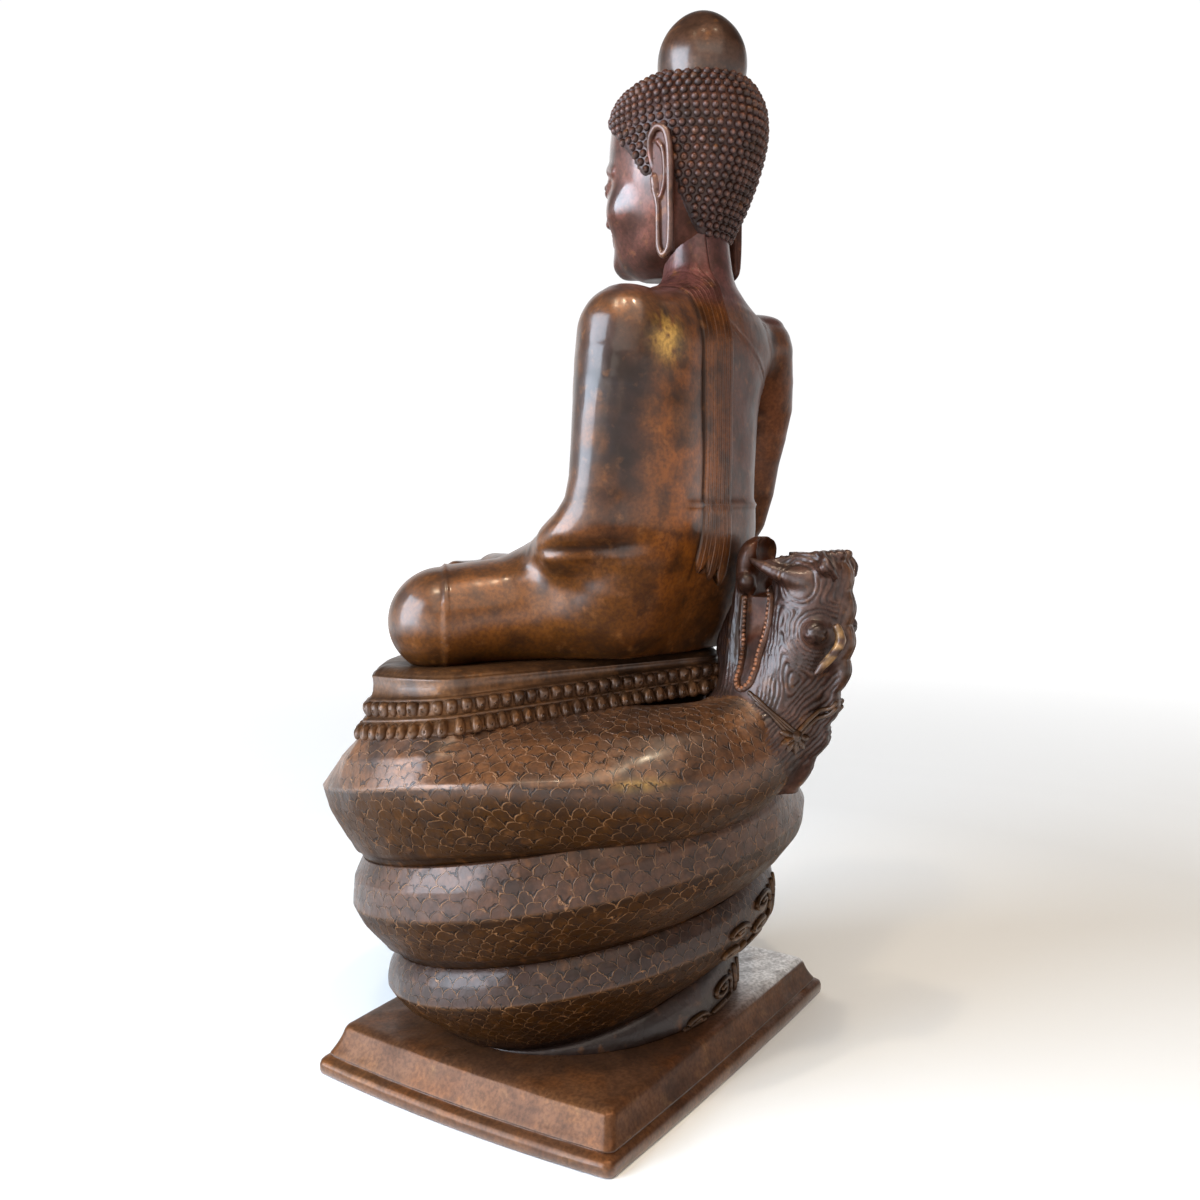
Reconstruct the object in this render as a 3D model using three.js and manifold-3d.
// A seated figure in meditation on a lotus seat, carried by the coils of a serpent whose head rears
// behind the figure's back, all standing on a low rectangular plinth. Millimetres, +Z up.
// The figure looks along -Y and its left hand side is +X. The origin is the middle of the plinth's
// underside. Every piece is a closed skin laid through cross-sections that are worked out from the
// named sizes below.
import * as THREE from "three";
import Module from "manifold-3d";
import { mergeVertices } from "three/addons/utils/BufferGeometryUtils.js";

const wasm = await Module();
wasm.setup();

const TAU = Math.PI * 2;
const { degToRad, lerp, smoothstep, clamp } = THREE.MathUtils;

// Driving dimensions.
const TOTAL_HEIGHT = 1100;
const GAP = 0.3;
const PLINTH = {
  width: 493,
  depth: 370,
  height: 48,
  band: 17,
  sideInset: 25,
  endInset: 15,
  corner: 9,
  sideBow: 9,
  endBow: 4,
};
const COILS = {
  first: -0.3,
  last: 3.18,
  stepsPerTurn: 22,
  centreY: -14,
  footHalfWidth: 183,
  footHalfDepth: 128,
  tilt: 0.1,
};
// Half width and half depth of the coils' keel line after so many turns.
const KEEL = [
  { turn: -0.3, a: 205, b: 160 },
  { turn: 0.1, a: 224, b: 173 },
  { turn: 0.63, a: 244, b: 192 },
  { turn: 1.1, a: 261, b: 212 },
  { turn: 1.63, a: 277, b: 233 },
  { turn: 2.1, a: 287, b: 248 },
  { turn: 2.63, a: 302, b: 268 },
  { turn: 3.1, a: 308, b: 272 },
  { turn: 4.1, a: 320, b: 280 },
];
// The middle of the body where it leaves the pile at the back and turns up into the neck, with its half
// sizes outwards and across.
const NECK = [
  { turn: 2.7, x: 228, y: -78, z: 322, wide: 58, tall: 58 },
  { turn: 2.8, x: 236, y: 52, z: 328, wide: 56, tall: 57 },
  { turn: 2.9, x: 150, y: 160, z: 338, wide: 54, tall: 58 },
  { turn: 2.97, x: 66, y: 196, z: 346, wide: 55, tall: 61 },
  { turn: 3.04, x: 14, y: 208, z: 369, wide: 55, tall: 62 },
  { turn: 3.11, x: 0, y: 222, z: 402, wide: 52, tall: 55 },
  { turn: 3.18, x: 0, y: 236, z: 436, wide: 46, tall: 44 },
];
const NECK_START = 2.72;
const NECK_FULL = 2.93;
const SEAT = {
  halfWidth: 262,
  cornerX: 247,
  cornerY: -97,
  backY: 160,
  frontY: -188,
  beads: 92,
};
const SEAT_TOP = 447;
const CURL_PITCH = 14;
const ROBE = {
  thickness: 2.2,
  waist: 606,
  edge: 774,
  edgeSlope: 0.5,
  sashInner: 31,
  sashOuter: 79,
  sashHem: 526,
};

// Interpolates a short table of sections along its key, with smooth slopes.
function sectionAt(table, key, at) {
  let i = 1;
  while (i < table.length - 1 && table[i][key] < at) i += 1;
  const before = table[Math.max(i - 2, 0)];
  const from = table[i - 1];
  const to = table[i];
  const after = table[Math.min(i + 1, table.length - 1)];
  const span = to[key] - from[key];
  const t = clamp((at - from[key]) / span, 0, 1);
  const result = {};
  for (const name of Object.keys(from)) {
    const slopeFrom = ((to[name] - before[name]) / (to[key] - before[key])) * span;
    const slopeTo = ((after[name] - from[name]) / (after[key] - from[key])) * span;
    const t2 = t * t;
    const t3 = t2 * t;
    result[name] =
      from[name] * (2 * t3 - 3 * t2 + 1) +
      slopeFrom * (t3 - 2 * t2 + t) +
      to[name] * (3 * t2 - 2 * t3) +
      slopeTo * (t3 - t2);
  }
  result[key] = at;
  return result;
}

// A closed solid from vertices and triangles, turned so that its faces point outwards.
function solidFrom(points, triangles) {
  const positions = new Float32Array(points.length * 3);
  points.forEach((p, i) => positions.set([p.x, p.y, p.z], i * 3));
  const geometry = new THREE.BufferGeometry();
  geometry.setAttribute("position", new THREE.BufferAttribute(positions, 3));
  geometry.setIndex(triangles.flat());
  return solidOf(geometry);
}

function solidOf(geometry) {
  const bare = geometry.clone();
  bare.deleteAttribute("normal");
  bare.deleteAttribute("uv");
  const merged = mergeVertices(bare, 1e-3);
  const index = merged.index.array;
  const kept = [];
  for (let i = 0; i < index.length; i += 3) {
    const [a, b, c] = [index[i], index[i + 1], index[i + 2]];
    if (a !== b && b !== c && c !== a) kept.push(a, b, c);
  }
  const make = (triVerts) =>
    new wasm.Manifold(
      new wasm.Mesh({
        numProp: 3,
        vertProperties: new Float32Array(merged.attributes.position.array),
        triVerts: new Uint32Array(triVerts),
      }),
    );
  const made = make(kept);
  if (made.volume() >= 0) return made;
  const turned = [];
  for (let i = 0; i < kept.length; i += 3) turned.push(kept[i], kept[i + 2], kept[i + 1]);
  return make(turned);
}

function join(solids) {
  return solids.reduce((whole, next) => whole.add(next));
}

// The same solid without the specks of space that overlapping pieces can leave shut in between them.
function withoutPockets(solid) {
  return join(solid.decompose().filter((shell) => shell.volume() > 0));
}

// The band of triangles between two closed rings, which may have different numbers of points.
function bandBetween(ringA, startA, ringB, startB) {
  const triangles = [];
  const [nA, nB] = [ringA.length, ringB.length];
  let [a, b] = [0, 0];
  while (a < nA || b < nB) {
    const p = startA + (a % nA);
    const q = startB + (b % nB);
    if (b >= nB || (a < nA && (a + 0.5) / nA <= (b + 0.5) / nB)) {
      triangles.push([p, startA + ((a + 1) % nA), q]);
      a += 1;
    } else {
      triangles.push([p, startB + ((b + 1) % nB), q]);
      b += 1;
    }
  }
  return triangles;
}

// A closed skin through a row of rings, with a fan over each end.
function loft(rings) {
  const points = [];
  const starts = [];
  for (const ring of rings) {
    starts.push(points.length);
    points.push(...ring);
  }
  const triangles = [];
  for (let i = 0; i < rings.length - 1; i += 1) {
    triangles.push(...bandBetween(rings[i], starts[i], rings[i + 1], starts[i + 1]));
  }
  for (const end of [0, rings.length - 1]) {
    const ring = rings[end];
    const middle = ring.reduce((sum, p) => sum.add(p), new THREE.Vector3()).divideScalar(ring.length);
    points.push(middle);
    ring.forEach((p, k) => {
      const here = starts[end] + k;
      const next = starts[end] + ((k + 1) % ring.length);
      triangles.push(end === 0 ? [next, here, points.length - 1] : [here, next, points.length - 1]);
    });
  }
  return solidFrom(points, triangles);
}

// A level ring whose four quarters may have their own half widths and depths.
function levelRing({ x = 0, y, z, left, right, back, front, power = 2, count, lean = 0 }) {
  const ring = [];
  for (let k = 0; k < count; k += 1) {
    const angle = (k / count) * TAU;
    const c = Math.cos(angle);
    const s = Math.sin(angle);
    const px = Math.sign(c) * Math.abs(c) ** (2 / power) * (c > 0 ? left : right);
    const py = Math.sign(s) * Math.abs(s) ** (2 / power) * (s > 0 ? back : front);
    ring.push(new THREE.Vector3(x + px, y + py, z + lean * (y + py)));
  }
  return ring;
}

// A limb: oval sections along a smooth line through its joints, closed by rounded ends.
function limb(joints, { count = 12, steps = 8, flatten = 1, power = 2 }) {
  const up = new THREE.Vector3(0, 0, 1);
  const line = new THREE.CatmullRomCurve3(joints.map((j) => new THREE.Vector3(j.x, j.y, j.z)));
  const radii = joints.map((j, i) => ({ t: i / (joints.length - 1), r: j.r }));
  const rings = [];
  const addRing = (t, shrink, shift) => {
    const middle = line.getPoint(t);
    const along = line.getTangent(t);
    const side = new THREE.Vector3().crossVectors(along, up).normalize();
    const over = new THREE.Vector3().crossVectors(side, along).normalize();
    const r = sectionAt(radii, "t", t).r;
    middle.addScaledVector(along, shift * r);
    const ring = [];
    for (let k = 0; k < count; k += 1) {
      const angle = (k / count) * TAU;
      const c = Math.cos(angle);
      const s = Math.sin(angle);
      ring.push(
        middle
          .clone()
          .addScaledVector(side, Math.sign(c) * Math.abs(c) ** (2 / power) * r * shrink)
          .addScaledVector(over, Math.sign(s) * Math.abs(s) ** (2 / power) * r * shrink * flatten),
      );
    }
    rings.push(ring);
  };
  addRing(0, 0.35, -0.93);
  addRing(0, 0.75, -0.62);
  for (let i = 0; i <= steps; i += 1) addRing(i / steps, 1, 0);
  addRing(1, 0.75, 0.62);
  addRing(1, 0.35, 0.93);
  return loft(rings);
}

// The distance from a point to a limb, given as a smooth line through joints with their own radii.
// Negative inside.
function limbField(joints, pieces) {
  const line = new THREE.CatmullRomCurve3(joints.map((j) => new THREE.Vector3(j.x, j.y, j.z)));
  const radii = joints.map((j, i) => ({ t: i / (joints.length - 1), r: j.r }));
  const nodes = [];
  for (let i = 0; i <= pieces; i += 1) {
    const t = i / pieces;
    nodes.push({ at: line.getPoint(t), r: sectionAt(radii, "t", t).r });
  }
  const along = new THREE.Vector3();
  const away = new THREE.Vector3();
  return (p) => {
    let nearest = Infinity;
    for (let i = 0; i < pieces; i += 1) {
      along.subVectors(nodes[i + 1].at, nodes[i].at);
      away.subVectors(p, nodes[i].at);
      const share = clamp(away.dot(along) / along.lengthSq(), 0, 1);
      const distance = away.addScaledVector(along, -share).length() - lerp(nodes[i].r, nodes[i + 1].r, share);
      nearest = Math.min(nearest, distance);
    }
    return nearest;
  };
}

// Joins two distances with a soft fillet of about the given width.
function blend(a, b, width) {
  const near = Math.max(width - Math.abs(a - b), 0) / width;
  return Math.min(a, b) - (near * near * width) / 4;
}

function slopeOf(field, p) {
  const step = 0.5;
  const q = p.clone();
  const slope = new THREE.Vector3();
  for (const axis of ["x", "y", "z"]) {
    q[axis] = p[axis] + step;
    const ahead = field(q);
    q[axis] = p[axis] - step;
    slope[axis] = (ahead - field(q)) / (2 * step);
    q[axis] = p[axis];
  }
  return slope;
}

// Moves a point straight onto the surface where the field is zero.
function settle(field, p, rounds) {
  for (let i = 0; i < rounds; i += 1) {
    const slope = slopeOf(field, p);
    p.addScaledVector(slope, (-0.9 * field(p)) / Math.max(slope.lengthSq(), 0.5));
  }
  return p;
}

// The skin of a distance field: one point in each cell of a grid that the surface crosses, settled on the
// surface, and two triangles over each grid edge that it cuts.
function skinOf(field, low, high, cell) {
  const count = ["x", "y", "z"].map((axis) => Math.ceil((high[axis] - low[axis]) / cell) + 1);
  const at = (i, j, k) => i + count[0] * (j + count[1] * k);
  const corner = (i, j, k) => new THREE.Vector3(low.x + i * cell, low.y + j * cell, low.z + k * cell);
  const values = new Float32Array(count[0] * count[1] * count[2]);
  const each = (inset, visit) => {
    for (let k = 0; k < count[2] - inset; k += 1) {
      for (let j = 0; j < count[1] - inset; j += 1) {
        for (let i = 0; i < count[0] - inset; i += 1) visit(i, j, k);
      }
    }
  };
  each(0, (i, j, k) => {
    values[at(i, j, k)] = field(corner(i, j, k));
  });
  const points = [];
  const pointOf = new Map();
  each(1, (i, j, k) => {
    const middle = new THREE.Vector3();
    let crossings = 0;
    const tryEdge = (a, b) => {
      const [va, vb] = [values[at(...a)], values[at(...b)]];
      if (va < 0 === vb < 0) return;
      middle.add(corner(...a).lerp(corner(...b), va / (va - vb)));
      crossings += 1;
    };
    for (const [u, v] of [[0, 0], [0, 1], [1, 0], [1, 1]]) {
      tryEdge([i, j + u, k + v], [i + 1, j + u, k + v]);
      tryEdge([i + u, j, k + v], [i + u, j + 1, k + v]);
      tryEdge([i + u, j + v, k], [i + u, j + v, k + 1]);
    }
    if (!crossings) return;
    pointOf.set(at(i, j, k), points.length);
    points.push(settle(field, middle.divideScalar(crossings), 2));
  });
  const triangles = [];
  const addQuad = (cells, turned) => {
    const [a, b, c, d] = cells.map((cell3) => pointOf.get(at(...cell3)));
    const gapAt = (p, q) => Math.abs(field(points[p].clone().lerp(points[q], 0.5)));
    const quad = gapAt(a, c) <= gapAt(b, d) ? [[a, b, c], [a, c, d]] : [[b, c, d], [b, d, a]];
    triangles.push(...(turned ? quad.map((t) => [t[0], t[2], t[1]]) : quad));
  };
  each(1, (i, j, k) => {
    const inside = values[at(i, j, k)] < 0;
    if (j && k && inside !== values[at(i + 1, j, k)] < 0) {
      addQuad([[i, j - 1, k - 1], [i, j, k - 1], [i, j, k], [i, j - 1, k]], !inside);
    }
    if (i && k && inside !== values[at(i, j + 1, k)] < 0) {
      addQuad([[i - 1, j, k - 1], [i - 1, j, k], [i, j, k], [i, j, k - 1]], !inside);
    }
    if (i && j && inside !== values[at(i, j, k + 1)] < 0) {
      addQuad([[i - 1, j - 1, k], [i, j - 1, k], [i, j, k], [i - 1, j, k]], !inside);
    }
  });
  evenOut(field, points, triangles);
  return solidFrom(points, triangles);
}

// Moves every point of a skin towards the middle of its neighbours and back onto the surface, so that the
// triangles are of even size.
function evenOut(field, points, triangles) {
  const neighbours = points.map(() => new Set());
  for (const [a, b, c] of triangles) {
    neighbours[a].add(b).add(c);
    neighbours[b].add(a).add(c);
    neighbours[c].add(a).add(b);
  }
  for (let round = 0; round < 3; round += 1) {
    const moved = points.map((p, i) => {
      const middle = new THREE.Vector3();
      neighbours[i].forEach((n) => middle.add(points[n]));
      return p.clone().lerp(middle.divideScalar(neighbours[i].size), 0.6);
    });
    moved.forEach((p, i) => points[i].copy(settle(field, p, 2)));
  }
}

// The plinth: a lower band with a groove over it, then a hollow battered face up to a soft top edge.
function plinthSolid() {
  const levels = [
    { z: 0, inset: 0 },
    { z: PLINTH.band - 2, inset: 0.14 },
    { z: PLINTH.band, inset: 0.32 },
    { z: PLINTH.band + 3, inset: 0.36 },
    { z: PLINTH.height * 0.65, inset: 0.7 },
    { z: PLINTH.height - 6, inset: 0.9 },
    { z: PLINTH.height - 1.5, inset: 1 },
    { z: PLINTH.height, inset: 1.25 },
  ];
  return loft(levels.map(({ z, inset }) => plinthOutline(inset, z)));
}

// The plinth's outline at a height: rounded corners and sides that bow out a little in the middle.
function plinthOutline(inset, z) {
  const ring = [];
  const halfWidth = PLINTH.width / 2 - PLINTH.sideInset * inset;
  const halfDepth = PLINTH.depth / 2 - PLINTH.endInset * inset;
  const bowShare = 1 - (0.4 * z) / PLINTH.height;
  const between = 4;
  for (let corner = 0; corner < 4; corner += 1) {
    const signX = corner === 0 || corner === 3 ? 1 : -1;
    const signY = corner < 2 ? 1 : -1;
    const cornerX = signX * (halfWidth - PLINTH.corner);
    const cornerY = signY * (halfDepth - PLINTH.corner);
    for (let k = 0; k < 3; k += 1) {
      const angle = degToRad(corner * 90 + k * 45);
      const x = cornerX + PLINTH.corner * Math.cos(angle);
      ring.push(new THREE.Vector3(x, cornerY + PLINTH.corner * Math.sin(angle), z));
    }
    for (let k = 1; k <= between; k += 1) {
      const along = 1 - (2 * k) / (between + 1);
      const bow = bowShare * (1 - along ** 2);
      if (corner % 2 === 0) {
        ring.push(new THREE.Vector3(cornerX * along, signY * (halfDepth + PLINTH.endBow * bow), z));
      } else {
        ring.push(new THREE.Vector3(signX * (halfWidth + PLINTH.sideBow * bow), cornerY * along, z));
      }
    }
  }
  return ring;
}

// Height of the serpent's keel line, before the tilt of the whole pile, after so many turns.
function keelHeight(turn) {
  return PLINTH.height + 6 + 78 * turn - turn ** 2 + 4 * turn ** 3;
}

// How far the tail has grown from the foot of the pile to its full girth.
function tailGrowth(turn) {
  return smoothstep(turn, COILS.first, COILS.first + 0.35);
}

function tilted(x, y, z) {
  const share = smoothstep(z, PLINTH.height, PLINTH.height + 45);
  return new THREE.Vector3(x, y, z + COILS.tilt * share * y);
}

// The plan oval of the keel line after so many turns, moved outwards by an offset.
function pileRadius(turn, offset) {
  const { a, b } = sectionAt(KEEL, "turn", clamp(turn, KEEL[0].turn, KEEL[KEEL.length - 1].turn));
  return { a: a + offset, b: b + offset };
}

// The groove over the coil that has made so many turns, under the coil above it.
function grooveAt(turn) {
  const grown = tailGrowth(turn);
  const full = pileRadius(turn, -12);
  const z = lerp(keelHeight(turn), keelHeight(turn + 1), 0.38);
  return {
    a: lerp(COILS.footHalfWidth, full.a, grown),
    b: lerp(COILS.footHalfDepth, full.b, grown),
    z: lerp(PLINTH.height, z, grown),
  };
}

// The lotus seat's outline in plan, seen from above: a sharp corner beside each knee, straight sides
// that meet in a rounded point behind, and a bowed front.
function seatOutline(count) {
  const half = new THREE.Path();
  half.moveTo(0, SEAT.backY);
  half.quadraticCurveTo(18, SEAT.backY - 1, 40, SEAT.backY - 21);
  half.lineTo(SEAT.halfWidth - 26, 18);
  half.quadraticCurveTo(SEAT.halfWidth + 10, -6, SEAT.cornerX, SEAT.cornerY);
  half.quadraticCurveTo(SEAT.cornerX * 0.62, SEAT.frontY + 2, 0, SEAT.frontY);
  const points = half.getSpacedPoints(count / 2);
  const right = points
    .slice(1, -1)
    .reverse()
    .map((p) => new THREE.Vector2(-p.x, p.y));
  return [...points, ...right];
}

// The distance from the seat's middle to its outline in a direction, for the coil that carries it.
function seatReach(angle) {
  const outline = seatOutline(96);
  let best = outline[0];
  let bestGap = Infinity;
  for (const p of outline) {
    const turned = Math.atan2(p.y, p.x) - angle;
    const gap = Math.abs(Math.atan2(Math.sin(turned), Math.cos(turned)));
    if (gap < bestGap) [best, bestGap] = [p, gap];
  }
  return best;
}

function seatUnderside(y) {
  return 384 + 0.155 * y;
}

// The direction in degrees, seen along the body, of each point of a coil's cross-section: 0 is outwards.
const SECTION_BEARINGS = [222, 264, 280, 308, 338, 12, 48, 85, 138];

// The same cross-section where the body has turned into the neck.
function neckSection(turn) {
  const from = NECK[0].turn;
  const to = NECK[NECK.length - 1].turn;
  const placeAt = (t) => {
    const s = sectionAt(NECK, "turn", clamp(t, from, to));
    return new THREE.Vector3(s.x, s.y, s.z);
  };
  const { wide, tall } = sectionAt(NECK, "turn", clamp(turn, from, to));
  const middle = placeAt(turn);
  const along = placeAt(turn + 0.02).sub(placeAt(turn - 0.02)).normalize();
  const angle = degToRad(90) + Math.min(turn - 3, 0) * TAU;
  const outwards = new THREE.Vector3(Math.cos(angle), Math.sin(angle), 0);
  outwards.addScaledVector(along, -outwards.dot(along)).normalize();
  const across = new THREE.Vector3().crossVectors(outwards, along);
  return SECTION_BEARINGS.map((bearing) =>
    middle
      .clone()
      .addScaledVector(outwards, wide * Math.cos(degToRad(bearing)))
      .addScaledVector(across, tall * Math.sin(degToRad(bearing))),
  );
}

// One cross-section of the serpent's body: out along the underside to the groove, up the lower face to
// the keel and back over the upper face, with the inner end buried in the middle of the pile.
function coilSection(turn) {
  const angle = degToRad(90) + turn * TAU;
  const at = ({ a, b, z }, share = 1) =>
    tilted(a * share * Math.cos(angle), COILS.centreY + b * share * Math.sin(angle), z);
  const grown = tailGrowth(turn);
  const keelOval = pileRadius(turn, 0);
  const low = grooveAt(turn - 1);
  const keel = {
    a: lerp(COILS.footHalfWidth, keelOval.a, grown),
    b: lerp(COILS.footHalfDepth, keelOval.b, grown),
    z: lerp(PLINTH.height + 4, keelHeight(turn), grown),
  };
  const high = grooveAt(turn);
  const mix = (p, q, t, out) => ({
    a: lerp(p.a, q.a, t) + out,
    b: lerp(p.b, q.b, t) + out,
    z: lerp(p.z, q.z, t),
  });
  const onSeat = smoothstep(turn, 1.98, 2.16);
  const reach = seatReach(angle);
  const upper = at(high).lerp(
    new THREE.Vector3(reach.x * 1.05, reach.y * 1.05, seatUnderside(reach.y) + 6),
    onSeat,
  );
  const keelPoint = at(keel);
  const swell = (6 + 7 * Math.max(0, Math.cos(angle - degToRad(115)))) * grown;
  const shoulder = keelPoint.clone().lerp(upper, 0.5);
  const outwards = new THREE.Vector3(Math.cos(angle), Math.sin(angle), 0.8).normalize();
  shoulder.addScaledVector(outwards, 5 * grown);
  const core = 0.4;
  const ring = [
    at({ ...low, z: low.z - 5 }, core),
    at({ ...low, z: low.z - 1.5 }, 0.97),
    at(low),
    at(mix(low, keel, 0.3, swell * 0.85)),
    at(mix(low, keel, 0.68, swell)),
    keelPoint,
    shoulder,
    upper,
    at({ a: high.a, b: high.b, z: lerp(high.z + 5, seatUnderside(0) + 6, onSeat) }, core),
  ];
  if (turn <= NECK_START) return ring;
  const rise = smoothstep(turn, NECK_START, NECK_FULL);
  return neckSection(turn).map((p, k) => ring[k].lerp(p, rise));
}

// The coils, a quarter turn of body at a time so that no piece runs over itself.
function coilSolids() {
  const pieces = [];
  const steps = Math.round((COILS.last - COILS.first) * COILS.stepsPerTurn);
  const turnAt = (i) => lerp(COILS.first, COILS.last, i / steps);
  const run = 8;
  for (let from = 0; from < steps; from += run) {
    const rings = [];
    for (let i = from; i <= Math.min(from + run, steps); i += 1) rings.push(coilSection(turnAt(i)));
    pieces.push(loft(rings));
  }
  return pieces;
}

// The solid middle of the pile, up to the underside of the seat.
function pileCore() {
  const levels = [
    { z: PLINTH.height - 2, a: 188, b: 126 },
    { z: PLINTH.height + 40, a: 172, b: 118 },
    { z: 230, a: 190, b: 135 },
    { z: 400, a: 200, b: 140 },
  ];
  const y = COILS.centreY + 4;
  return loft(levels.map(({ z, a, b }) => levelRing({ y, z, left: a, right: a, back: b, front: b, count: 32 })));
}

// A box given by its lowest and highest values along each axis.
function box(x0, x1, y0, y1, z0, z1) {
  const geometry = new THREE.BoxGeometry(x1 - x0, y1 - y0, z1 - z0);
  geometry.translate((x0 + x1) / 2, (y0 + y1) / 2, (z0 + z1) / 2);
  return solidOf(geometry);
}

// The rearing neck and the upper jaw, in side view: how far they reach to the front and back at each height.
const UPPER_JAW = [
  { z: 350, front: 182, back: 250, half: 40 },
  { z: 385, front: 180, back: 272, half: 46 },
  { z: 415, front: 188, back: 284, half: 45 },
  { z: 432, front: 205, back: 288, half: 43 },
  { z: 450, front: 220, back: 295, half: 42 },
  { z: 480, front: 223, back: 299, half: 42 },
  { z: 515, front: 226, back: 302, half: 38 },
  { z: 540, front: 230, back: 302, half: 33 },
  { z: 553, front: 240, back: 299, half: 20 },
];

// The lower jaw stands in front of it, close behind the figure's back, and ends in an upright cup.
const LOWER_JAW = [
  { z: 396, front: 184, back: 214, half: 40 },
  { z: 430, front: 179, back: 208, half: 37 },
  { z: 470, front: 180, back: 208, half: 34 },
  { z: 508, front: 186, back: 209, half: 31 },
  { z: 526, front: 189, back: 209, half: 30 },
  { z: 545, front: 190, back: 216, half: 32 },
  { z: 560, front: 194, back: 218, half: 31 },
  { z: 569, front: 200, back: 216, half: 22 },
];

function sideLoft(table, heights, power, count) {
  return loft(
    heights.map((z) => {
      const { front, back, half } = sectionAt(table, "z", z);
      const depth = (back - front) / 2;
      const y = front + depth;
      return levelRing({ y, z, left: half, right: half, back: depth, front: depth, power, count });
    }),
  );
}

// How far back the crest reaches at each height.
const CREST = [
  { z: 312, y: 257 },
  { z: 335, y: 268 },
  { z: 365, y: 286 },
  { z: 400, y: 297 },
  { z: 430, y: 306 },
  { z: 450, y: 311 },
  { z: 500, y: 312 },
  { z: 535, y: 308 },
  { z: 560, y: 302 },
];

// The dorsal crest: a narrow plate along the back of the neck and head with a scalloped edge.
function crestSolid() {
  const rings = [];
  const scallop = 34;
  const start = 316;
  for (let z = start; z <= 548; z += scallop / 4) {
    const back = sectionAt(CREST, "z", z).y;
    const out = 7 * Math.abs(Math.sin(((z - start) / scallop) * Math.PI)) - 4;
    rings.push(levelRing({ y: back - 30, z, left: 9, right: 9, back: 30 + out, front: 8, count: 6 }));
  }
  return loft(rings);
}

function serpentHead() {
  const mouth = sideLoft(UPPER_JAW, [350, 385, 405, 420, 432, 448, 480, 515, 540, 553], 2.5, 16);
  const pieces = [
    mouth,
    sideLoft(LOWER_JAW, [396, 430, 470, 508, 526, 545, 560, 569], 2.6, 14),
    box(-24, 24, 196, 236, 400, 512),
    crestSolid(),
  ];
  for (const side of [1, -1]) {
    const fang = [
      { x: side * 30, y: 272, z: 526, r: 12 },
      { x: side * 36, y: 248, z: 532, r: 9 },
      { x: side * 35, y: 226, z: 543, r: 4 },
    ];
    const eye = [
      { x: side * 34, y: 284, z: 477, r: 14 },
      { x: side * 50, y: 286, z: 478, r: 8 },
    ];
    const nostril = [
      { x: side * 22, y: 284, z: 540, r: 10 },
      { x: side * 31, y: 290, z: 543, r: 7 },
    ];
    const tongueTip = [
      { x: side * 22, y: 204, z: 519, r: 10 },
      { x: side * 30, y: 207, z: 521, r: 9 },
    ];
    pieces.push(limb(fang, { count: 6, steps: 3 }));
    for (const joints of [eye, nostril, tongueTip]) pieces.push(limb(joints, { count: 7, steps: 1 }));
  }
  return pieces;
}

// A scroll carved on a coil near the back: a curled rib over the lower and upper faces.
function scrollSolid(turn) {
  const middle = coilSection(turn);
  const next = coilSection(turn + 0.05);
  const lifted = (p) => p.clone().add(new THREE.Vector3(0, 1, 0));
  const rib = (points) => limb(points.map((p) => ({ x: p.x, y: p.y, z: p.z, r: 5 })), { count: 4, steps: 5 });
  return [
    rib([middle[3], middle[5], middle[6], next[6], next[5]].map(lifted)),
    rib([next[3], next[4], middle[4], middle[5]].map(lifted)),
  ];
}

function serpentSolid() {
  const scrolls = [...scrollSolid(0.05), ...scrollSolid(1.06)];
  const whole = join([...coilSolids(), pileCore(), ...serpentHead(), ...scrolls]);
  return whole.subtract(seatSpace()).subtract(slabBelow(PLINTH.height + GAP));
}

// Everything under a height, to cut a piece flat.
function slabBelow(height) {
  const box = new THREE.BoxGeometry(1400, 1400, 400);
  box.translate(0, 0, height - 200);
  return solidOf(box);
}

// The room over the coils that the seat fills, a little larger than the seat.
function seatSpace() {
  const outline = offsetOutline(seatOutline(96), 23);
  return loft([
    outline.map((p) => new THREE.Vector3(p.x, p.y, seatUnderside(p.y) - GAP / 2)),
    outline.map((p) => new THREE.Vector3(p.x, p.y, SEAT_TOP + 200)),
  ]);
}

// The outline moved outwards by a distance, or by one that a function gives for each point.
function offsetOutline(outline, distance) {
  const count = outline.length;
  return outline.map((p, k) => {
    const before = outline[(k + count - 1) % count];
    const after = outline[(k + 1) % count];
    const normal = new THREE.Vector2(after.y - before.y, before.x - after.x).normalize();
    if (normal.dot(p) < 0) normal.negate();
    const out = typeof distance === "function" ? distance(k) : distance;
    return p.clone().addScaledVector(normal, out);
  });
}

// The lotus seat: a plain stepped band over two rows of rounded petals.
function seatSolid() {
  const ringAt = (z, slope, offset, lobe = 0) => {
    const count = lobe ? SEAT.beads * 2 : SEAT.beads;
    return offsetOutline(seatOutline(count), (k) => offset + (k % 2 ? lobe : -lobe)).map(
      (p) => new THREE.Vector3(p.x, p.y, z + slope * p.y),
    );
  };
  return loft([
    ringAt(384 + GAP / 2, 0.155, 13),
    ringAt(391, 0.15, 17.5, 3.6),
    ringAt(402, 0.13, 4),
    ringAt(410, 0.12, 6.5, 3.2),
    ringAt(419, 0.11, 0),
    ringAt(437, 0.05, -1),
    ringAt(441, 0.045, -7),
    ringAt(447, 0.04, -24),
  ]);
}

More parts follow.
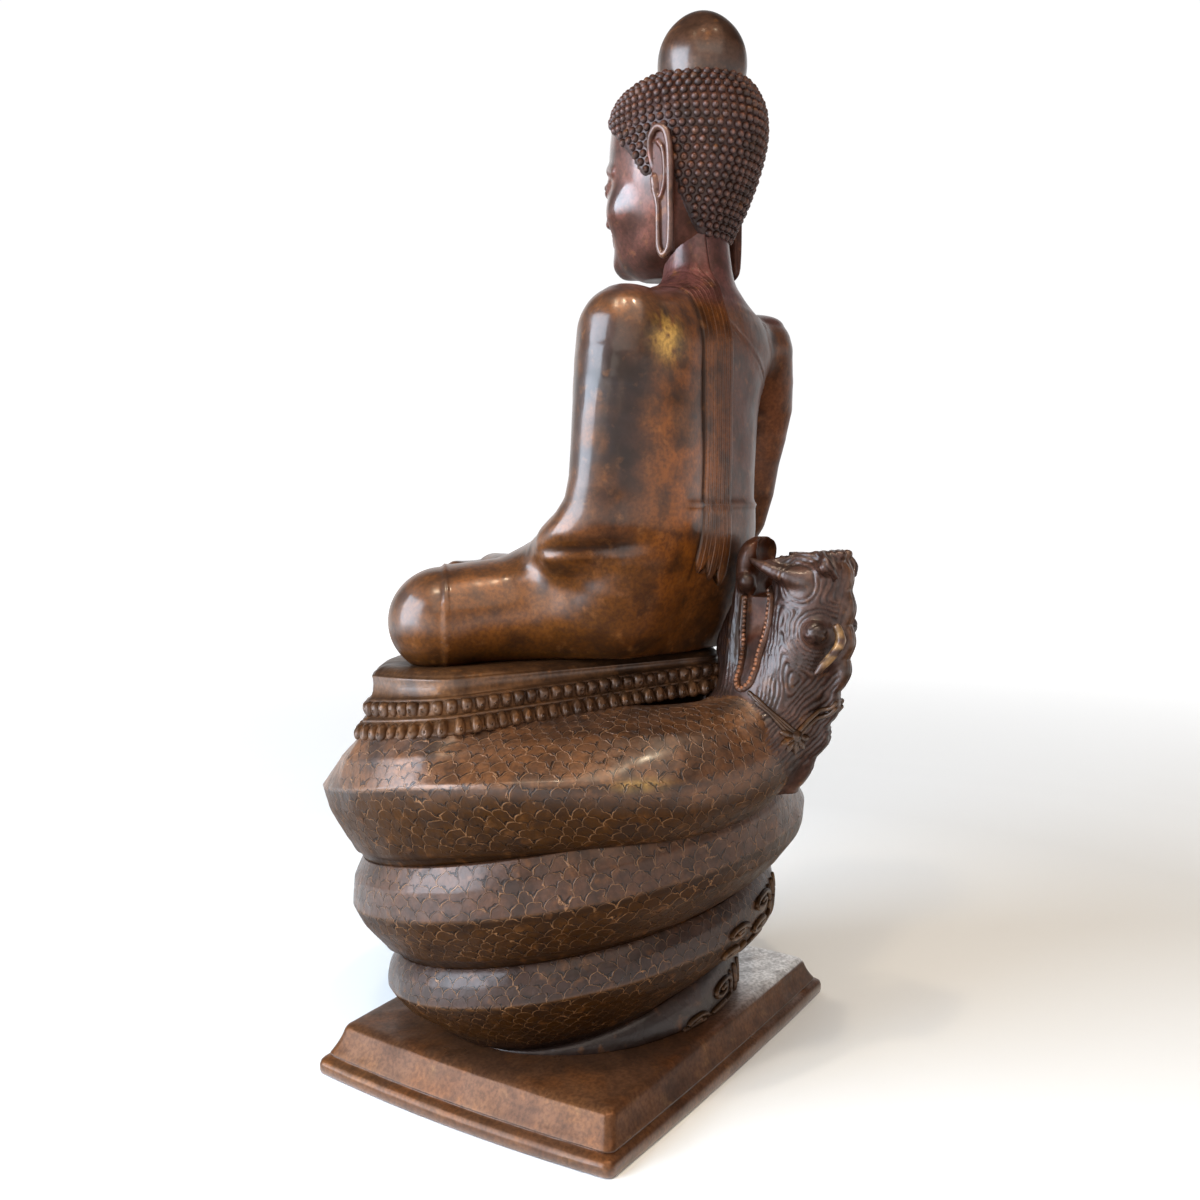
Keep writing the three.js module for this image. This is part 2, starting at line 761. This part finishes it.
// The trunk and neck in horizontal sections. The robe over the left arm fills the left side out to it.
const TRUNK = [
  { z: 425, y: 88, back: 50, front: 90, right: 84, left: 84 },
  { z: 455, y: 92, back: 61, front: 92, right: 90, left: 90 },
  { z: 485, y: 98, back: 68, front: 95, right: 92, left: 96 },
  { z: 520, y: 106, back: 73, front: 92, right: 92, left: 110 },
  { z: 550, y: 114, back: 71, front: 84, right: 91, left: 130 },
  { z: 575, y: 120, back: 67, front: 74, right: 89, left: 150 },
  { z: 603, y: 122, back: 64, front: 64, right: 87, left: 162 },
  { z: 650, y: 121, back: 65, front: 70, right: 92, left: 162 },
  { z: 700, y: 116, back: 69, front: 76, right: 107, left: 162 },
  { z: 735, y: 115, back: 71, front: 74, right: 128, left: 160 },
  { z: 765, y: 120, back: 66, front: 62, right: 154, left: 156 },
  { z: 788, y: 127, back: 54, front: 48, right: 146, left: 144 },
  { z: 804, y: 132, back: 44, front: 38, right: 112, left: 112 },
  { z: 817, y: 135, back: 39, front: 35, right: 66, left: 66 },
  { z: 830, y: 135, back: 35, front: 35, right: 43, left: 43 },
  { z: 850, y: 133, back: 33, front: 35, right: 37, left: 37 },
  { z: 880, y: 129, back: 33, front: 34, right: 37, left: 37 },
  { z: 905, y: 126, back: 30, front: 34, right: 36, left: 36 },
];
const TRUNK_POWER = 2.15;

function trunkField(p) {
  const low = TRUNK[0].z;
  const high = TRUNK[TRUNK.length - 1].z;
  const reachAt = (z) => {
    const s = sectionAt(TRUNK, "z", clamp(z, low, high));
    const across = Math.abs(p.x) / (p.x > 0 ? s.left : s.right);
    const along = Math.abs(p.y - s.y) / (p.y > s.y ? s.back : s.front);
    const reach = (across ** TRUNK_POWER + along ** TRUNK_POWER) ** (1 / TRUNK_POWER);
    const perX = (across / reach) ** (TRUNK_POWER - 1) / (p.x > 0 ? s.left : s.right);
    const perY = (along / reach) ** (TRUNK_POWER - 1) / (p.y > s.y ? s.back : s.front);
    return { reach, slope: Math.hypot(perX, perY) };
  };
  const here = reachAt(p.z);
  const climb = (reachAt(p.z + 2).reach - reachAt(p.z - 2).reach) / 4;
  const aside = (here.reach - 1) / Math.max(Math.hypot(here.slope, climb), 0.004);
  return Math.max(aside, low - p.z, p.z - high);
}

function armJoints(side) {
  const left = side > 0;
  const elbow = left ? 598 : 588;
  return [
    { x: side * (left ? 143 : 146), y: 130, z: left ? 764 : 772, r: left ? 40 : 42 },
    { x: side * (left ? 158 : 162), y: 129, z: 715, r: left ? 34 : 37 },
    { x: side * 162, y: 121, z: 655, r: left ? 29 : 31 },
    { x: side * 162, y: 109, z: elbow, r: 27 },
    { x: side * 160, y: 76, z: elbow - 35, r: 28 },
    { x: side * 136, y: 30, z: 537, r: 22 },
    { x: side * 84, y: -28, z: 513, r: 17 },
  ];
}

function thighJoints(side) {
  return [
    { x: side * 30, y: 76, z: 500, r: 60 },
    { x: side * 80, y: 44, z: 499, r: 58 },
    { x: side * 145, y: 0, z: 497, r: 54 },
    { x: side * 199, y: -42, z: 492, r: 49 },
  ];
}

// The shins cross in front, the right one over the left, and each foot lies on or under the other thigh.
function shinJoints(side) {
  const over = side < 0 ? 1 : 0;
  return [
    { x: side * 204, y: -49, z: 484 + 8 * over, r: 44 },
    { x: side * 140, y: -100, z: 482 + 14 * over, r: 40 },
    { x: side * 60, y: -128, z: 476 + 26 * over, r: 34 },
    { x: side * -20, y: -118 - 14 * (1 - over), z: 470 + 44 * over, r: 26 },
    { x: side * -70, y: -78 - 40 * (1 - over), z: 466 + 60 * over, r: 24 },
    { x: side * -108, y: -18 - 80 * (1 - over), z: 464 + 66 * over, r: 20 },
  ];
}

// The robe that hangs between the left arm and the back.
const DRAPE = [
  { x: 100, y: 126, z: 752, r: 48 },
  { x: 108, y: 128, z: 690, r: 53 },
  { x: 110, y: 127, z: 620, r: 53 },
  { x: 108, y: 114, z: 560, r: 56 },
  { x: 96, y: 90, z: 505, r: 62 },
];

const LEFT_ARM = limbField(armJoints(1), 12);
const RIGHT_SHOULDER = limbField(
  [armJoints(-1)[0], { x: -158, y: 129, z: 730, r: 34 }, { x: -161, y: 127, z: 700, r: 16 }],
  4,
);
const DRAPE_FIELD = limbField(DRAPE, 8);
const LAP_FOLD = limbField(
  [{ x: 98, y: 96, z: 530, r: 50 }, { x: 136, y: 62, z: 526, r: 43 }, { x: 140, y: 18, z: 504, r: 48 }],
  4,
);
const THIGHS = [1, -1].map((side) => limbField(thighJoints(side), 6));
const SHINS = [1, -1].map((side) => limbField(shinJoints(side), 10));

// Trunk, arms and legs as one flowing form.
function bodyField(p) {
  const seat = THIGHS.reduce((sum, thigh) => blend(sum, thigh(p), 46), trunkField(p));
  const legs = SHINS.reduce((sum, shin) => blend(sum, shin(p), 24), seat);
  const draped = [LAP_FOLD, DRAPE_FIELD].reduce((sum, field) => blend(sum, field(p), 26), legs);
  return blend(blend(draped, LEFT_ARM(p), 30), RIGHT_SHOULDER(p), 14);
}

function bodySolid() {
  const low = new THREE.Vector3(-260, -180, 415);
  const high = new THREE.Vector3(262, 215, 925);
  const up = new THREE.Vector3(-0.2, -1, 0.35).normalize();
  const bareArm = limb(armJoints(-1), { count: 10, steps: 10, up });
  return skinOf(bodyField, low, high, 23).add(bareArm);
}

// The point of the body's surface that a ray from inside it meets.
function onBody(from, direction, lift = 0) {
  const p = from.clone();
  for (let i = 0; i < 40; i += 1) p.addScaledVector(direction, -0.8 * bodyField(p));
  return p.addScaledVector(direction, lift);
}

// A thin edge of cloth that lies on the body, through the points where rays from its axis meet it.
function edgeSolid(rays, steps, radius) {
  const points = rays.map(({ from, to }) => {
    const direction = to.clone().sub(from).normalize();
    return onBody(from, direction, 0.1 * radius);
  });
  return limb(points.map((p) => ({ x: p.x, y: p.y, z: p.z, r: radius })), { count: 4, steps });
}

// The tied edge of the skirt round the waist, the upper edge of the robe over the back and chest, and the
// skirt's hem round each knee.
function clothEdges() {
  const axis = (z) => new THREE.Vector3(0, 118, z);
  const waist = [];
  const robe = [];
  for (let k = 0; k <= 14; k += 1) {
    const bearing = degToRad(lerp(52, 300, k / 14));
    const z = ROBE.waist;
    waist.push({ from: axis(z), to: new THREE.Vector3(200 * Math.cos(bearing), 118 + 200 * Math.sin(bearing), z) });
  }
  for (let k = 0; k <= 12; k += 1) {
    const bearing = degToRad(lerp(78, 282, k / 12));
    const across = 200 * Math.cos(bearing);
    robe.push({
      from: axis(ROBE.edge),
      to: new THREE.Vector3(across, 118 + 200 * Math.sin(bearing), ROBE.edge + ROBE.edgeSlope * across),
    });
  }
  const edges = [edgeSolid(waist, 14, 4), edgeSolid(robe, 12, 3.6)];
  for (const side of [1, -1]) {
    const hem = [];
    const middle = new THREE.Vector3(side * 199, -42, 492);
    for (let k = 0; k <= 10; k += 1) {
      const angle = degToRad(lerp(-50, 140, k / 10));
      const out = new THREE.Vector3(side * 0.76 * Math.cos(angle), 0.65 * Math.cos(angle), Math.sin(angle));
      hem.push({ from: middle, to: middle.clone().add(out) });
    }
    edges.push(edgeSolid(hem, 10, 3));
  }
  return edges;
}

// The folded sash over the left shoulder, hanging down in front and behind, with upright pleats. It is a
// slab laid over the body round a level axis.
function sashSolid() {
  const { sashInner: inner, sashOuter: outer, sashHem: hem } = ROBE;
  const pleats = 4;
  const rings = [];
  const steps = 16;
  const start = Math.atan2(hem - 700, 70);
  const end = Math.PI - Math.atan2(630 - 700, 70);
  for (let i = 0; i <= steps; i += 1) {
    const angle = lerp(start, end, i / steps);
    const direction = new THREE.Vector3(0, Math.cos(angle), Math.sin(angle));
    const ring = [];
    for (let k = 0; k <= pleats * 2; k += 1) {
      const x = lerp(inner, outer, k / (pleats * 2));
      const lift = k % 2 ? 6.2 : 3.4;
      ring.push(onBody(new THREE.Vector3(x, 122, 700), direction, lift));
    }
    for (const x of [outer, (inner + outer) / 2, inner]) {
      ring.push(onBody(new THREE.Vector3(x, 122, 700), direction, -8));
    }
    rings.push(ring);
  }
  return loft(rings);
}

// Both hands lie palm up in the lap, the right one on the left, with the thumb tips together.
function handSolids() {
  const hands = [];
  for (const side of [1, -1]) {
    const lift = side < 0 ? 16 : 0;
    hands.push(
      limb(
        [
          { x: side * 92, y: -18, z: 514, r: 18 },
          { x: side * 55, y: -52, z: 502 + lift, r: 22 },
          { x: side * 8, y: -66, z: 500 + lift, r: 23 },
          { x: side * -38, y: -60, z: 500 + lift, r: 13 },
        ],
        { count: 8, steps: 3, flatten: 0.55 },
      ),
      limb(
        [
          { x: side * 50, y: -50, z: 522, r: 8 },
          { x: side * 26, y: -60, z: 534, r: 8 },
          { x: side * 2, y: -62, z: 538, r: 6 },
        ],
        { count: 5, steps: 2 },
      ),
    );
  }
  return hands;
}

// The head in horizontal sections, from under the chin to the crown.
const SKULL = [
  { z: 838, y: 85, front: 17, back: 18, half: 15 },
  { z: 846, y: 92, front: 42, back: 38, half: 31 },
  { z: 860, y: 102, front: 62, back: 50, half: 44 },
  { z: 885, y: 112, front: 75, back: 53, half: 55 },
  { z: 910, y: 117, front: 82, back: 61, half: 62 },
  { z: 940, y: 120, front: 86, back: 70, half: 67 },
  { z: 970, y: 121, front: 86, back: 77, half: 69 },
  { z: 995, y: 122, front: 83, back: 76, half: 67 },
  { z: 1014, y: 123, front: 76, back: 68, half: 60 },
  { z: 1028, y: 128, front: 61, back: 51, half: 47 },
  { z: 1038, y: 133, front: 32, back: 28, half: 26 },
];

// How far the face stands out of the skull at a bearing from straight ahead and a height: brow, nose,
// lips, chin and cheeks, with the eye hollows as dents.
function faceRelief(bearing, z) {
  const bump = (b0, z0, wide, high, size) =>
    size * Math.exp(-(((bearing - b0) / wide) ** 2) - ((z - z0) / high) ** 2);
  const side = Math.abs(bearing);
  const mirrored = (b0, z0, wide, high, size) =>
    size * Math.exp(-(((side - b0) / wide) ** 2) - ((z - z0) / high) ** 2);
  const noseShare = smoothstep(z, 905, 912) * (1 - smoothstep(z, 925, 965));
  return (
    14 * Math.exp(-((bearing / 0.14) ** 2)) * noseShare +
    mirrored(0.13, 912, 0.07, 6, 4) +
    mirrored(0.34, 958, 0.3, 6, 3.5) +
    mirrored(0.36, 943, 0.16, 7, -5) +
    mirrored(0.36, 941, 0.12, 5, 3) +
    mirrored(0.62, 915, 0.3, 18, 2.5) +
    bump(0, 894, 0.24, 4, 5) +
    bump(0, 885, 0.2, 4, 4.5) +
    bump(0, 864, 0.28, 10, 6)
  );
}

function skullPoint(bearing, z, offset, relief) {
  const s = sectionAt(SKULL, "z", z);
  const c = Math.cos(bearing);
  const depth = (c > 0 ? s.front : s.back) + offset;
  const out = 1 + (relief ? faceRelief(bearing, z) / Math.max(s.front, 30) : 0);
  return new THREE.Vector3((s.half + offset) * Math.sin(bearing) * out, s.y - depth * c * out, z);
}

function skullSolid() {
  const heights = [838, 846, 857, 869, 879, 885, 890, 895, 901, 907, 913, 924, 936, 945, 953, 961, 975, 995, 1020];
  const bearings = [];
  for (let k = -12; k < 12; k += 1) {
    const t = k / 12;
    bearings.push(Math.PI * (Math.abs(t) ** 1.7 * Math.sign(t)));
  }
  return loft(heights.map((z) => bearings.map((b) => skullPoint(b, z, 0, true))));
}

// The lowest point of the hair at a bearing from straight ahead: over the brow, down to a point in front
// of the ear, and down behind it to the nape.
function hairline(bearing) {
  const side = Math.abs(bearing) * (180 / Math.PI);
  const table = [
    { at: 0, z: 992 },
    { at: 35, z: 990 },
    { at: 62, z: 962 },
    { at: 80, z: 946 },
    { at: 105, z: 930 },
    { at: 140, z: 892 },
    { at: 180, z: 864 },
  ];
  return sectionAt(table, "at", side).z;
}

// The hair: rows of small pointed curls over the skull. Each row is turned half a curl on from the one
// below it, and the rows sink into the head below the hairline.
function hairSolid() {
  const top = 1034;
  const heights = [];
  let walked = CURL_PITCH;
  let last = skullPoint(Math.PI, 857, 0, false);
  for (let z = 857; z < top; z += 0.25) {
    const p = skullPoint(Math.PI, z, 0, false);
    walked += p.distanceTo(last);
    last = p;
    if (walked >= CURL_PITCH) {
      heights.push(z);
      walked = 0;
    }
  }
  const widest = sectionAt(SKULL, "z", 970);
  const columns = Math.round((Math.PI * (widest.half + (widest.front + widest.back) / 2)) / CURL_PITCH);
  const points = [];
  const triangles = [];
  const surface = (column, z, raised) => {
    const bearing = (column / columns) * TAU - Math.PI;
    const shown = smoothstep(z, hairline(bearing) - 5, hairline(bearing) + 1);
    return skullPoint(bearing, z, lerp(-9, raised, shown), false);
  };
  const gridPoint = (row, column) => row * columns + (((column % columns) + columns) % columns);
  heights.forEach((z, row) => {
    for (let k = 0; k < columns; k += 1) points.push(surface(k + row / 2, z, 2));
  });
  for (let row = 0; row < heights.length - 1; row += 1) {
    const z = (heights[row] + heights[row + 1]) / 2;
    for (let k = 0; k < columns; k += 1) {
      points.push(surface(k + row / 2 + 0.75, z, 8));
      const peak = points.length - 1;
      const corners = [gridPoint(row, k), gridPoint(row, k + 1), gridPoint(row + 1, k + 1), gridPoint(row + 1, k)];
      corners.forEach((corner, i) => triangles.push([corner, corners[(i + 1) % 4], peak]));
    }
  }
  for (const row of [0, heights.length - 1]) {
    const middle = new THREE.Vector3(0, sectionAt(SKULL, "z", heights[row]).y, heights[row]);
    points.push(middle);
    for (let k = 0; k < columns; k += 1) {
      const side = [gridPoint(row, k), gridPoint(row, k + 1)];
      if (row === 0) side.reverse();
      triangles.push([...side, points.length - 1]);
    }
  }
  return solidFrom(points, triangles);
}

// The smooth domed knob on the crown.
function crownKnob() {
  const radius = 45;
  const height = 52;
  const profile = [new THREE.Vector2(0, -30)];
  for (let k = -2; k <= 5; k += 1) {
    const angle = degToRad((k / 5) * 90);
    profile.push(new THREE.Vector2(radius * Math.cos(angle), height * Math.sin(angle)));
  }
  profile[profile.length - 1].x = 0;
  const knob = new THREE.LatheGeometry(profile, 18);
  knob.rotateX(Math.PI / 2);
  knob.translate(0, 136, TOTAL_HEIGHT - height);
  return solidOf(knob);
}

// A long ear with a slit lobe, standing a little away from the head.
function earSolid(side) {
  const outline = new THREE.Shape();
  outline.moveTo(-9, 62);
  outline.quadraticCurveTo(4, 70, 12, 58);
  outline.quadraticCurveTo(17, 30, 12, 0);
  outline.lineTo(11, -58);
  outline.quadraticCurveTo(6, -70, -2, -60);
  outline.lineTo(-5, -10);
  outline.quadraticCurveTo(-13, 20, -14, 40);
  outline.quadraticCurveTo(-14, 56, -9, 62);
  const plate = new THREE.ExtrudeGeometry(outline, { depth: 11, bevelEnabled: false, curveSegments: 4 });
  const hollow = new THREE.Shape();
  hollow.moveTo(-4, 56);
  hollow.quadraticCurveTo(6, 52, 6, 30);
  hollow.lineTo(6, -55);
  hollow.lineTo(1, -55);
  hollow.lineTo(0, 0);
  hollow.quadraticCurveTo(-8, 20, -4, 56);
  const scoop = new THREE.ExtrudeGeometry(hollow, { depth: 10, bevelEnabled: false, curveSegments: 3 });
  scoop.translate(0, 0, 7);
  const ear = solidOf(plate).subtract(solidOf(scoop));
  const place = new THREE.Matrix4().makeBasis(
    new THREE.Vector3(side * 0.3, 0.95, 0).normalize(),
    new THREE.Vector3(0, -0.1, 1).normalize(),
    new THREE.Vector3(side, -0.3, 0).normalize(),
  );
  place.setPosition(side * 61, 127, 929);
  return placed(ear, place);
}

function placed(solid, matrix) {
  const geometry = geometryOf(solid);
  geometry.applyMatrix4(matrix);
  if (matrix.determinant() < 0) {
    const index = geometry.index.array;
    for (let i = 0; i < index.length; i += 3) [index[i + 1], index[i + 2]] = [index[i + 2], index[i + 1]];
  }
  return solidOf(geometry);
}

function geometryOf(solid) {
  const { numProp, vertProperties, triVerts } = solid.getMesh();
  const positions = new Float32Array((vertProperties.length / numProp) * 3);
  for (let i = 0; i < positions.length / 3; i += 1) {
    positions.set(vertProperties.subarray(i * numProp, i * numProp + 3), i * 3);
  }
  const geometry = new THREE.BufferGeometry();
  geometry.setAttribute("position", new THREE.BufferAttribute(positions, 3));
  geometry.setIndex(new THREE.BufferAttribute(new Uint32Array(triVerts), 1));
  return geometry;
}

function figureSolid() {
  const body = join([bodySolid(), sashSolid(), ...clothEdges(), ...handSolids()]);
  const head = join([skullSolid(), hairSolid(), crownKnob(), earSolid(1), earSolid(-1)]);
  const room = loft([
    seatOutline(96).map((p) => new THREE.Vector3(p.x * 1.5, p.y * 1.5, 0)),
    seatOutline(96).map((p) => new THREE.Vector3(p.x * 1.5, p.y * 1.5, SEAT_TOP + GAP + 0.04 * p.y * 1.5)),
  ]);
  return body.add(head).subtract(room);
}

const bronze = (name, color, roughness) =>
  new THREE.MeshStandardMaterial({ name, color, roughness, metalness: 0.85 });

function addPiece(group, name, solid, material) {
  const geometry = geometryOf(withoutPockets(solid));
  geometry.computeVertexNormals();
  const mesh = new THREE.Mesh(geometry, material);
  mesh.name = name;
  group.add(mesh);
}

const statue = new THREE.Group();
addPiece(statue, "plinth", plinthSolid(), bronze("plinth_bronze", 0x6b4a36, 0.4));
addPiece(statue, "serpent", serpentSolid(), bronze("serpent_bronze", 0x5f4437, 0.5));
addPiece(statue, "lotus_seat", seatSolid(), bronze("seat_bronze", 0x6a4a3a, 0.42));
addPiece(statue, "seated_figure", figureSolid(), bronze("figure_bronze", 0x7a4a2a, 0.33));

export default statue;
